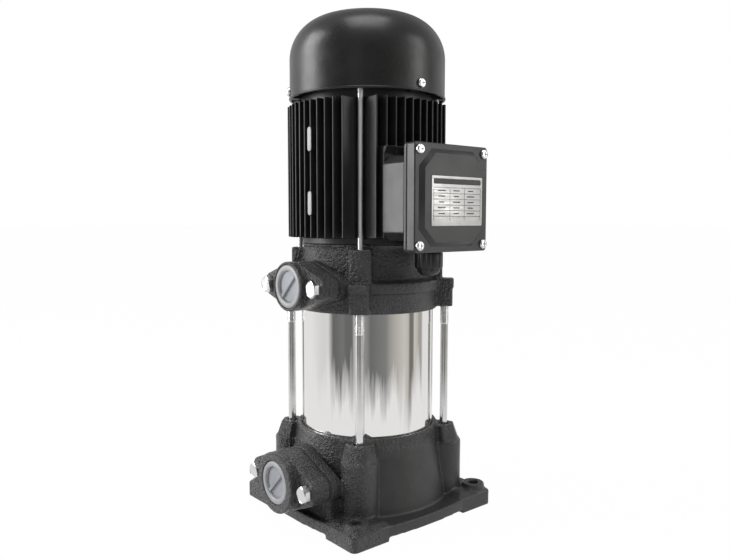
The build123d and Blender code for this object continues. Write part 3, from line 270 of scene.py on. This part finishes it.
cast_paint = cast_finish("cast_paint", 0.046, 0.032)
motor_paint = paint("motor_paint", 0.013, 0.008, 0.42, 1600.0, 0.00003, 0.00010)
cover_paint = paint("cover_paint", 0.012, 0.008, 0.33, 1400.0, 0.00002, 0.00008)
box_paint = paint("box_paint", 0.025, 0.020, 0.36, 1500.0, 0.00003, 0.00006)
mirror_steel = bare_metal(
    "mirror_steel", grey(0.90, (1.0, 0.99, 0.975)), 0.016, (1, 1, 0.03), 40.0, 0.000002, fade=0.985
)
zinc = bare_metal("zinc", grey(0.84), 0.17, (1, 1, 0.3), 200.0, 0.000001)
rod_zinc = bare_metal("rod_zinc", grey(0.90), 0.42, (1, 1, 0.05), 200.0, 0.000002)
rod_steel = bare_metal("rod_steel", grey(0.86), 0.09, (1, 1, 0.03), 120.0, 0.000001)
stage_steel = bare_metal("stage_steel", grey(0.6), 0.30, (1, 1, 1), 400.0, 0.00002)
shaft_steel = bare_metal("shaft_steel", grey(0.66), 0.18, (1, 1, 12), 200.0, 0.00001)
bearing_steel = bare_metal("bearing_steel", grey(0.6), 0.14, (1, 1, 6), 300.0, 0.00001)
lamination = bare_metal("lamination", grey(0.3), 0.4, (0.1, 0.1, 30), 60.0, 0.0001)
rubber = moulding("rubber", grey(0.02), 0.6, 1500.0, 0.00003)
black_plastic = moulding("black_plastic", grey(0.014), 0.36, 1400.0, 0.00003)
ceramic = moulding("ceramic", grey(0.16), 0.25, 2000.0, 0.00001)
winding = bare_metal("winding", (0.5, 0.22, 0.1, 1.0), 0.35, (1, 1, 6), 300.0, 0.0002)
plug_plastic = moulding("plug_plastic", grey(0.33, (0.96, 0.99, 1.08)), 0.34, 900.0, 0.00004)
plug_rim = moulding("plug_rim", grey(0.36, (0.99, 1.0, 1.02)), 0.36, 900.0, 0.00004)
plate_metal = bare_metal(
    "plate_metal", grey(0.66, (1.0, 0.99, 0.97)), 0.45, (1, 0.05, 1), 800.0, 0.00001
)
ink = moulding("ink", grey(0.05), 0.5, 1500.0, 0.00001)
pad_metal = moulding("pad_metal", grey(0.42), 0.42, 1200.0, 0.00003)

finishes = {
    "cast_iron_paint": cast_paint, "motor_paint": motor_paint, "cover_paint": cover_paint,
    "box_paint": box_paint, "polished_steel": mirror_steel, "bright_zinc": zinc,
    "stage_steel": stage_steel, "shaft_steel": shaft_steel, "bearing_steel": bearing_steel,
    "lamination_steel": lamination, "rubber": rubber, "black_plastic": black_plastic,
    "ceramic": ceramic, "copper_winding": winding, "clear_plastic": plug_plastic,
    "plate_metal": plate_metal,
}
slots = {part["node"]: part["material_slot"] for part in frame["record"]["subparts"]}
for name, node in nodes.items():
    node.data.materials.clear()
    node.data.materials.append(finishes[slots[name]])

# ---------------------------------------------------------------- mesh helpers
PIECE_SHARP = 35
EDGE_SHARP = 32
COVER_SHARP = 30
WELD_PIECE = 1e-7
WELD_COPY = 2e-6
FLAT_ENOUGH = 0.6
BEVEL_SEGMENTS = 2
SWELL_SCALE = 0.012


def low_high(name):
    """Corners of a CAD node's box, in millimetres."""
    low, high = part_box(name)
    return Vector(low) / MM, Vector(high) / MM


def smooth(mesh, sharp):
    """Smooth shading but for edges sharper than an angle in degrees."""
    mesh.shade_smooth()
    mesh.set_sharp_from_angle(angle=math.radians(sharp))


def piece(
    name, verts, faces, finish, slot, body="housing", place=None, angle=PIECE_SHARP, replaced=()
):
    """New mesh piece in millimetres, placed by a matrix, that rides a body."""
    mesh = bpy.data.meshes.new(name)
    points = [Vector(v) for v in verts]
    if place is not None:
        points = [place @ p for p in points]
    mesh.from_pydata([p * MM for p in points], [], faces)
    mesh.validate()
    work = bmesh.new()
    work.from_mesh(mesh)
    bmesh.ops.remove_doubles(work, verts=work.verts, dist=WELD_PIECE)
    bmesh.ops.recalc_face_normals(work, faces=work.faces)
    work.to_mesh(mesh)
    work.free()
    smooth(mesh, angle)
    mesh.materials.append(finish)
    made = bpy.data.objects.new(name, mesh)
    scene.collection.objects.link(made)
    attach(made, body)
    if replaced:
        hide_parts(*replaced)
    return made


def copied(name, whole=True):
    """Copy of a CAD node that stands for it, welded, its flat faces made whole if asked."""
    mesh = nodes[name].data.copy()
    mesh.name = name + "_dressed"
    if mesh.has_custom_normals:
        mesh.attributes.remove(mesh.attributes["custom_normal"])
    work = bmesh.new()
    work.from_mesh(mesh)
    bmesh.ops.remove_doubles(work, verts=work.verts, dist=WELD_COPY)
    if whole:
        bmesh.ops.dissolve_limit(
            work, angle_limit=math.radians(FLAT_ENOUGH), use_dissolve_boundaries=False,
            verts=work.verts, edges=work.edges,
        )
    work.to_mesh(mesh)
    work.free()
    mesh.materials.clear()
    mesh.materials.append(finishes[slots[name]])
    made = bpy.data.objects.new(name + "_dressed", mesh)
    scene.collection.objects.link(made)
    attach(made, body_of(nodes[name])[0])
    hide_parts(name)
    return made


def eased(name, width):
    """The node with every sharp edge eased by a narrow bevel, its width in millimetres."""
    made = copied(name)
    smooth(made.data, EDGE_SHARP)
    bevel = made.modifiers.new("edges", "BEVEL")
    bevel.width = width * MM
    bevel.segments = BEVEL_SEGMENTS
    bevel.limit_method = "ANGLE"
    bevel.angle_limit = math.radians(EDGE_SHARP)


def cast(name, voxel, rounds, swell):
    """The node as a casting: its edges run into fillets and its faces wander by the swell."""
    made = copied(name, whole=False)
    remesh = made.modifiers.new("skin", "REMESH")
    remesh.mode = "VOXEL"
    remesh.voxel_size = voxel * MM
    remesh.use_smooth_shade = True
    soften = made.modifiers.new("soften", "SMOOTH")
    soften.iterations = rounds
    clouds = bpy.data.textures.new(name + "_swell", "CLOUDS")
    clouds.noise_scale = SWELL_SCALE
    wander = made.modifiers.new("wander", "DISPLACE")
    wander.texture = clouds
    wander.texture_coords = "LOCAL"
    wander.strength = swell * MM


def bands(rows, count):
    """Quads between closed rows of the same count of points."""
    faces = []
    for row in range(rows - 1):
        below, above = row * count, (row + 1) * count
        for i in range(count):
            j = (i + 1) % count
            faces.append((below + i, below + j, above + j, above + i))
    return faces


def lathe(profile, count):
    """Vertices and faces of a profile of (radius, height) turned about Z."""
    verts = []
    for radius, height in profile:
        for i in range(count):
            a = 2 * math.pi * i / count
            verts.append((radius * math.cos(a), radius * math.sin(a), height))
    return verts, bands(len(profile), count)


def joined(*parts):
    """Several (vertices, faces) pairs as one."""
    verts, faces = [], []
    for more, sides in parts:
        start = len(verts)
        verts.extend(more)
        faces.extend(tuple(start + i for i in side) for side in sides)
    return verts, faces


def moved(part, matrix):
    verts, faces = part
    return [matrix @ Vector(v) for v in verts], faces


def slab(outline, bottom, top, ease=0.0):
    """Upright slab over a closed outline of (x, y), its top edge eased."""
    count = len(outline)
    mid = Vector((sum(p[0] for p in outline) / count, sum(p[1] for p in outline) / count))
    rings = [(0.0, bottom), (0.0, top - ease), (0.3 * ease, top - 0.3 * ease), (ease, top)]
    verts = []
    for inset, height in rings:
        for p in outline:
            out = Vector(p) - mid
            verts.append((*(mid + out * (1 - inset / max(out.length, 1e-6))), height))
    faces = bands(len(rings), count)
    faces.append(tuple(reversed(range(count))))
    faces.append(tuple(range(len(verts) - count, len(verts))))
    return verts, faces


def rounded(width, height, radius, steps=6):
    """Outline of a rectangle with round corners."""
    points = []
    for cx, cy, start in ((1, 1, 0), (-1, 1, 90), (-1, -1, 180), (1, -1, 270)):
        for step in range(steps + 1):
            a = math.radians(start + 90 * step / steps)
            x = cx * (width / 2 - radius) + radius * math.cos(a)
            y = cy * (height / 2 - radius) + radius * math.sin(a)
            points.append((x, y))
    return points


def facing(x, y, z, normal):
    """Matrix that lays the XY plane across a level normal at a place, with local Y upwards."""
    n = Vector(normal).normalized()
    side = Vector((0, 0, 1)).cross(n).normalized()
    rise = n.cross(side)
    turn = Matrix((side, rise, n)).transposed().to_4x4()
    return Matrix.Translation((x, y, z)) @ turn


# ---------------------------------------------------------------- pieces built over the frame
# castings, with voxel size in millimetres, rounds of smoothing and swell in millimetres
for name, voxel, rounds, swell in (
    ("base_casting", 0.9, 6, 0.22), ("head_casting", 0.8, 5, 0.22), ("suction_flange", 0.55, 6, 0.2),
    ("discharge_flange", 0.55, 6, 0.2), ("motor_housing", 0.55, 3, 0.1), ("terminal_box", 0.7, 4, 0.1),
):
    cast(name, voxel, rounds, swell)

# turned and pressed pieces with eased edges
for name, width in (
    ("motor_flange", 0.6), ("upper_end_shield", 0.5), ("terminal_lid", 0.7), ("lid_gasket", 0.15),
    ("tie_rod_washers", 0.3), ("tie_rod_nuts", 0.4), ("suction_gasket", 0.2), ("discharge_gasket", 0.2),
    ("drain_plug", 0.4), ("vent_plug", 0.4), ("gland_body", 0.4), ("lid_screws", 0.15),
    ("fan_cover_screws", 0.15), ("motor_rods", 0.2),
):
    eased(name, width)

# pressed fan cover: its slotted crown keeps the CAD faces
smooth(copied("fan_cover", whole=False).data, COVER_SHARP)

# the long motor screws are dull zinc
bpy.data.objects["motor_rods_dressed"].data.materials[0] = rod_zinc

# polished sleeve
sleeve_low, sleeve_high = low_high("pump_sleeve")
SLEEVE_WALL = 1.5
sleeve_r = sleeve_high.x
sleeve_profile = [
    (sleeve_r, sleeve_low.z), (sleeve_r, sleeve_high.z), (sleeve_r - SLEEVE_WALL, sleeve_high.z),
    (sleeve_r - SLEEVE_WALL, sleeve_low.z), (sleeve_r, sleeve_low.z),
]
piece(
    "polished_sleeve", *lathe(sleeve_profile, 256), mirror_steel, "polished_steel",
    replaced=("pump_sleeve",),
)

# rolled rim of the fan cover
BEAD_R = 1.1
BEAD_INSET = 0.3
BEAD_SIDES = 16
rim_low, rim_high = low_high("fan_cover")
bead = [
    (rim_high.x - BEAD_INSET + BEAD_R * math.cos(a), rim_low.z + BEAD_R + BEAD_R * math.sin(a))
    for a in (2 * math.pi * i / BEAD_SIDES for i in range(BEAD_SIDES + 1))
]
piece("cover_bead", *lathe(bead, 192), cover_paint, "cover_paint")

# tie rods: rolled thread at the top over a thinner shank
rods_low, rods_high = low_high("tie_rods")
head_foot = low_high("head_casting")[0].z
THREAD_PITCH = 1.25
THREAD_RUN_IN = 1.5
THREAD_STEP = 0.16
THREAD_IN_HEAD = 4.0
THREAD_BELOW_HEAD = 15.8
SHANK_ROWS = 8
ROD_R, SHANK_R, ROOT_R = 4.0, 3.55, 3.35
thread_start = head_foot - THREAD_BELOW_HEAD


def rod_radius(height, angle):
    if height < thread_start:
        return SHANK_R
    phase = ((height / THREAD_PITCH) + angle / (2 * math.pi)) % 1.0
    depth = abs(2 * phase - 1)
    run_in = min(1.0, (height - thread_start) / THREAD_RUN_IN)
    crest = SHANK_R + (ROD_R - SHANK_R) * run_in
    root = SHANK_R + (ROOT_R - SHANK_R) * run_in
    return root + (crest - root) * min(1.0, 1.25 * depth)


shank_length = thread_start - rods_low.z
heights = [rods_low.z + shank_length * i / SHANK_ROWS for i in range(SHANK_ROWS)]
thread_steps = int((head_foot + THREAD_IN_HEAD - thread_start) / THREAD_STEP)
heights += [thread_start + THREAD_STEP * i for i in range(thread_steps + 1)] + [rods_high.z]
unit_verts, rod_faces = lathe([(1.0, h) for h in heights], 32)
rod_verts = []
for x, y, height in unit_verts:
    radius = rod_radius(height, math.atan2(y, x))
    rod_verts.append((x * radius, y * radius, height))
rod_x, rod_y = rods_high.x - ROD_R, rods_high.y - ROD_R
rod_places = [(rod_x * sx, rod_y * sy) for sx in (-1, 1) for sy in (-1, 1)]
piece(
    "threaded_rods",
    *joined(*(moved((rod_verts, rod_faces), Matrix.Translation((x, y, 0))) for x, y in rod_places)),
    rod_steel, slots["tie_rods"], angle=80, replaced=("tie_rods",),
)


# port bolts: hexagon heads with a washer face and a turned chamfer
BOLT_FLATS = 13.0
BOLT_HEAD = 6.0
BOLT_R = 4.0
BOLT_INTO_HEAD = 0.3
WASHER_FACE = 0.5
CHAMFER_SLOPE = 0.55
CROWN_DIP = 0.25


def hex_head(flats, height):
    """Bolt head standing on the XY plane."""
    count, half = 96, flats / 2
    washer_r, crown_r, dip = half * 0.97, half * 0.93, height - CROWN_DIP
    # each row is (height, radius); None stands for the chamfer's height or the hexagon's radius
    rows = [(0.0, washer_r), (WASHER_FACE, washer_r), (WASHER_FACE, None), (None, None),
            (height, crown_r), (dip, crown_r - 0.5), (dip, 0.05)]
    verts = []
    for level, radius in rows:
        for i in range(count):
            a = 2 * math.pi * i / count
            hexa = half / math.cos((a + math.pi / 6) % (math.pi / 3) - math.pi / 6)
            r = hexa if radius is None else radius
            h = height - (r - crown_r) * CHAMFER_SLOPE if level is None else level
            verts.append((r * math.cos(a), r * math.sin(a), h))
    return verts, bands(len(rows), count)


for port in ("suction", "discharge"):
    low, high = low_high(port + "_bolts")
    z = (low.z + high.z) / 2
    reach = high.x - BOLT_FLATS / 2
    seat_y = low.y + BOLT_HEAD
    shank_end = seat_y - high.y
    shank = lathe([(BOLT_R, BOLT_INTO_HEAD), (BOLT_R, shank_end), (0.1, shank_end)], 32)
    bolt = joined(hex_head(BOLT_FLATS, BOLT_HEAD), shank)
    parts = [moved(bolt, facing(side * reach, seat_y, z, (0, -1, 0))) for side in (-1, 1)]
    piece(
        port + "_hex_bolts", *joined(*parts), zinc, slots[port + "_bolts"], angle=25,
        replaced=(port + "_bolts",),
    )

# transit plugs: pale cup with a soft rim, a recessed disc and a bar across it
PLUG_RIM = (
    (16.5, -12.0), (16.5, -3.2), (18.8, -3.0), (18.8, -1.0), (18.4, -0.35), (17.6, 0.0), (15.2, 0.0),
    (14.4, -0.3), (13.7, -1.2), (13.4, -2.9), (13.4, -3.1),
)
PLUG_DISC = ((13.5, -3.0), (13.0, -2.6), (0.02, -2.5), (0.02, -4.0), (13.5, -4.0))
PLUG_BAR = (26.0, 2.6, 1.2)
BAR_TURN = math.radians(45)
bar = slab(rounded(*PLUG_BAR), -2.8, -0.6, 0.5)
plug_face = joined(lathe(PLUG_DISC, 96), moved(bar, Matrix.Rotation(BAR_TURN, 4, "Z")))
for port in ("suction", "discharge"):
    node = port + "_plug"
    low, high = low_high(node)
    place = facing((low.x + high.x) / 2, low.y, (low.z + high.z) / 2, (0, -1, 0))
    piece(node + "_rim", *lathe(PLUG_RIM, 160), plug_rim, slots[node], place=place, replaced=(node,))
    piece(node + "_disc", *plug_face, plug_plastic, slots[node], place=place)

# cable gland cap: fine ribs round a cap that is drawn in to a dome
GLAND_CAP = (
    (4.6, 0.0), (10.8, 0.0), (11.8, -0.8), (12.0, -1.6), (12.0, -12.4), (11.6, -13.6), (10.2, -14.4),
    (9.6, -16.4), (8.2, -18.4), (6.4, -19.6), (4.8, -20.0), (4.6, -19.4), (4.6, 0.0),
)
CAP_RIBS = 12
CAP_RIB_DEPTH = 0.55
CAP_RIB_INNER_R = 10.0
CAP_RIB_TOP = -0.5
cap_low, cap_high = low_high("gland_nut")
cap_x, cap_y = (cap_low.x + cap_high.x) / 2, (cap_low.y + cap_high.y) / 2
cap_verts, cap_faces = lathe(GLAND_CAP, 144)
ribbed = []
for x, y, height in cap_verts:
    r, a = math.hypot(x, y), math.atan2(y, x)
    ribs_here = r > CAP_RIB_INNER_R and height < CAP_RIB_TOP
    cut = CAP_RIB_DEPTH * max(0.0, math.cos(CAP_RIBS * a)) ** 0.5 if ribs_here else 0.0
    ribbed.append((x * (1 - cut / r), y * (1 - cut / r), height))
piece("gland_cap", ribbed, cap_faces, black_plastic, slots["gland_nut"],
      place=Matrix.Translation((cap_x, cap_y, cap_high.z)), angle=28, replaced=("gland_nut",))

# data plate with a header band and generic ruled lines
PLATE_CORNER = 1.2
PLATE_THICKNESS = 0.5
BAND_DROP, BAND_HEIGHT = 4.2, 4.4
ROW_DROP, ROW_PITCH, ROWS = 9.2, 4.6, 6
WORD_DROP, WORD_HEIGHT, WORD_LEFT, WORD_PITCH = 11.5, 0.9, -18.5, 17
RULE_WIDTH = 0.35
RULE_MARGIN = 2.2
MARK_BOTTOM, MARK_TOP = 0.45, 0.56
plate_low, plate_high = low_high("data_plate")
plate_y, plate_z = (plate_low.y + plate_high.y) / 2, (plate_low.z + plate_high.z) / 2
plate_w, plate_h = plate_high.y - plate_low.y, plate_high.z - plate_low.z
place = facing(plate_low.x, plate_y, plate_z, (1, 0, 0))
plate = slab(rounded(plate_w, plate_h, PLATE_CORNER), 0.0, PLATE_THICKNESS, 0.15)
piece("rating_plate", *plate, plate_metal, slots["data_plate"], place=place, replaced=("data_plate",))
# each mark is (x, y, width, height)
printed, top, side = plate_w - 4, plate_h / 2, plate_w / 2 - RULE_MARGIN
marks = [(0, top - BAND_DROP, printed, BAND_HEIGHT)]
marks += [(0, top - ROW_DROP - ROW_PITCH * i, printed, RULE_WIDTH) for i in range(ROWS)]
marks += [(x, -2.6, RULE_WIDTH, plate_h - 14.0) for x in (-side, -9.0, 8.0, side)]
for i in range(3):
    for k in range(ROWS - 1):
        word = 9.0 - 1.5 * ((i + k) % 3)
        marks.append((WORD_LEFT + WORD_PITCH * i, top - WORD_DROP - ROW_PITCH * k, word, WORD_HEIGHT))
strips = []
for x, y, width, height in marks:
    strip = slab(rounded(width, height, min(width, height) * 0.2, 2), MARK_BOTTOM, MARK_TOP)
    strips.append(moved(strip, Matrix.Translation((x, y, 0))))
piece("plate_marks", *joined(*strips), ink, slots["data_plate"], place=place)

# pale oblong pads on a fin of the port side
PAD_X, PAD_Y = 8.0, -70.8
PAD_RISES = (29.8, 84.2)
housing_foot = low_high("motor_housing")[0].z
pad = slab(rounded(4.8, 20.4, 2.3, 10), -0.3, 0.35, 0.2)
pads = [moved(pad, facing(PAD_X, PAD_Y, housing_foot + rise, (0, -1, 0))) for rise in PAD_RISES]
piece("fin_pads", *joined(*pads), pad_metal, slots["motor_housing"])

# ---------------------------------------------------------------- floor, world and lamps
FLOOR_HALF = 30.0
FLOOR_GLOW = 0.988
FLOOR_GREY = 0.85
floor_mesh = bpy.data.meshes.new("floor")
corners = [(FLOOR_HALF * x, FLOOR_HALF * y, 0) for x, y in ((-1, -1), (1, -1), (1, 1), (-1, 1))]
floor_mesh.from_pydata(corners, [], [(0, 1, 2, 3)])
floor = bpy.data.objects.new("floor", floor_mesh)
scene.collection.objects.link(floor)
floor_paint = bpy.data.materials.new("floor_paint")
floor_paint.use_nodes = True
tree = Nodes(floor_paint.node_tree)
tree.nodes.clear()
matte = tree.add("ShaderNodeBsdfDiffuse", {"Color": grey(FLOOR_GREY)})
glow = tree.add("ShaderNodeEmission", {"Color": grey(1.0), "Strength": 1.0})
clear = tree.add("ShaderNodeBsdfTransparent")
path = tree.add("ShaderNodeLightPath")
seen = tree.math("MULTIPLY", path.outputs["Is Camera Ray"], FLOOR_GLOW)
direct = tree.add("ShaderNodeMixShader", {0: seen})
tree.links.new(matte.outputs[0], direct.inputs[1])
tree.links.new(glow.outputs[0], direct.inputs[2])
mirrored = tree.add("ShaderNodeMixShader", {0: path.outputs["Is Glossy Ray"]})
tree.links.new(direct.outputs[0], mirrored.inputs[1])
tree.links.new(clear.outputs[0], mirrored.inputs[2])
out = tree.add("ShaderNodeOutputMaterial")
tree.links.new(mirrored.outputs[0], out.inputs["Surface"])
floor_mesh.materials.append(floor_paint)
floor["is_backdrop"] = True

# the studio as polished surfaces see it: panels round the room as (azimuth, brightness), a pale
# table below from one slope of sight to the next, and a grey ceiling
TABLE_GREY = 0.84
TABLE_EDGE = (-0.205, -0.265)
CEILING_EDGE = (0.25, 0.8)
SOFT_GREY = 0.42
WARM_FROM, WARM_TO = 85, 160
PANELS = (
    (-180, 0.80), (-158, 0.80), (-148, 0.28), (-136, 0.28), (-128, 0.80), (-64, 0.84),
    (-42, 0.74), (-30, 0.70), (-20, 0.72), (-15, 0.40), (-10, 0.14), (8, 0.19),
    (14, 0.15), (25, 0.15), (28, 0.50), (33, 0.46), (40, 0.34), (50, 0.26),
    (56, 0.16), (72, 0.20), (82, 0.22), (90, 0.36), (100, 0.46), (117, 0.60),
    (125, 0.54), (129, 0.18), (136, 0.20), (139, 0.62), (148, 0.50), (151, 0.36),
    (158, 0.40), (162, 0.80),
)
WARM = (1.0, 0.96, 0.90)
world = bpy.data.worlds.new("studio")
scene.world = world
world.use_nodes = True
tree = Nodes(world.node_tree)
tree.nodes.clear()
toward = tree.add("ShaderNodeSeparateXYZ", {0: tree.add("ShaderNodeTexCoord").outputs["Generated"]})
behind = tree.math("MULTIPLY", toward.outputs[1], -1.0)
turn = tree.math("ARCTAN2", toward.outputs[0], behind)
around = tree.spread(turn, 0.0, 1.0, -math.pi, math.pi)
ramp = tree.add("ShaderNodeValToRGB", {0: around})
ramp.color_ramp.interpolation = "LINEAR"
stops = ramp.color_ramp.elements
while len(stops) > 1:
    stops.remove(stops[-1])
for index, (azimuth, level) in enumerate(PANELS):
    stop = stops[0] if index == 0 else stops.new((azimuth + 180) / 360)
    stop.position = (azimuth + 180) / 360
    stop.color = grey(level, WARM if WARM_FROM < azimuth < WARM_TO else (1.0, 1.0, 1.0))
ripple = tree.add("ShaderNodeTexNoise", {"Scale": 3.2, "Detail": 4.0, "Roughness": 0.6}).outputs["Fac"]
edge = tree.math("ADD", toward.outputs[2], tree.spread(ripple, 0.05, -0.05, 0.3, 0.7))
down = tree.spread(edge, 0.0, 1.0, *TABLE_EDGE)
low_room = tree.mix(down, ramp.outputs[0], grey(TABLE_GREY))
up = tree.spread(toward.outputs[2], 0.0, 1.0, *CEILING_EDGE)
room = tree.mix(up, low_room, grey(SOFT_GREY))
path = tree.add("ShaderNodeLightPath")
soft = tree.mix(path.outputs["Is Diffuse Ray"], room, grey(SOFT_GREY))
shown = tree.mix(path.outputs["Is Camera Ray"], soft, grey(1.0))
background = tree.add("ShaderNodeBackground", {"Color": shown, "Strength": 1.0})
out = tree.add("ShaderNodeOutputWorld")
tree.links.new(background.outputs[0], out.inputs["Surface"])


def softbox(name, azimuth, elevation, distance, width, height, power):
    """Soft area lamp that looks at the middle of the pump."""
    data = bpy.data.lights.new(name, "AREA")
    data.shape = "RECTANGLE"
    data.size, data.size_y, data.energy = width, height, power
    lamp = bpy.data.objects.new(name, data)
    a, e = math.radians(azimuth), math.radians(elevation)
    aim = Vector((0, 0, (cad_low.z + cad_high.z) / 2))
    back = Vector((math.sin(a) * math.cos(e), -math.cos(a) * math.cos(e), math.sin(e)))
    lamp.location = aim + back * distance
    lamp.rotation_mode = "QUATERNION"
    lamp.rotation_quaternion = (-back).to_track_quat("-Z", "Y")
    scene.collection.objects.link(lamp)


# azimuth and elevation in degrees, distance, width and height in metres, power in watts
softbox("key", -40, 20, 1.6, 0.7, 1.6, 24)
softbox("fill", 128, 18, 1.8, 0.6, 1.4, 8)
softbox("top", 50, 78, 1.6, 0.9, 0.9, 9)

scene.view_settings.view_transform = "Standard"

low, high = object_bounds()
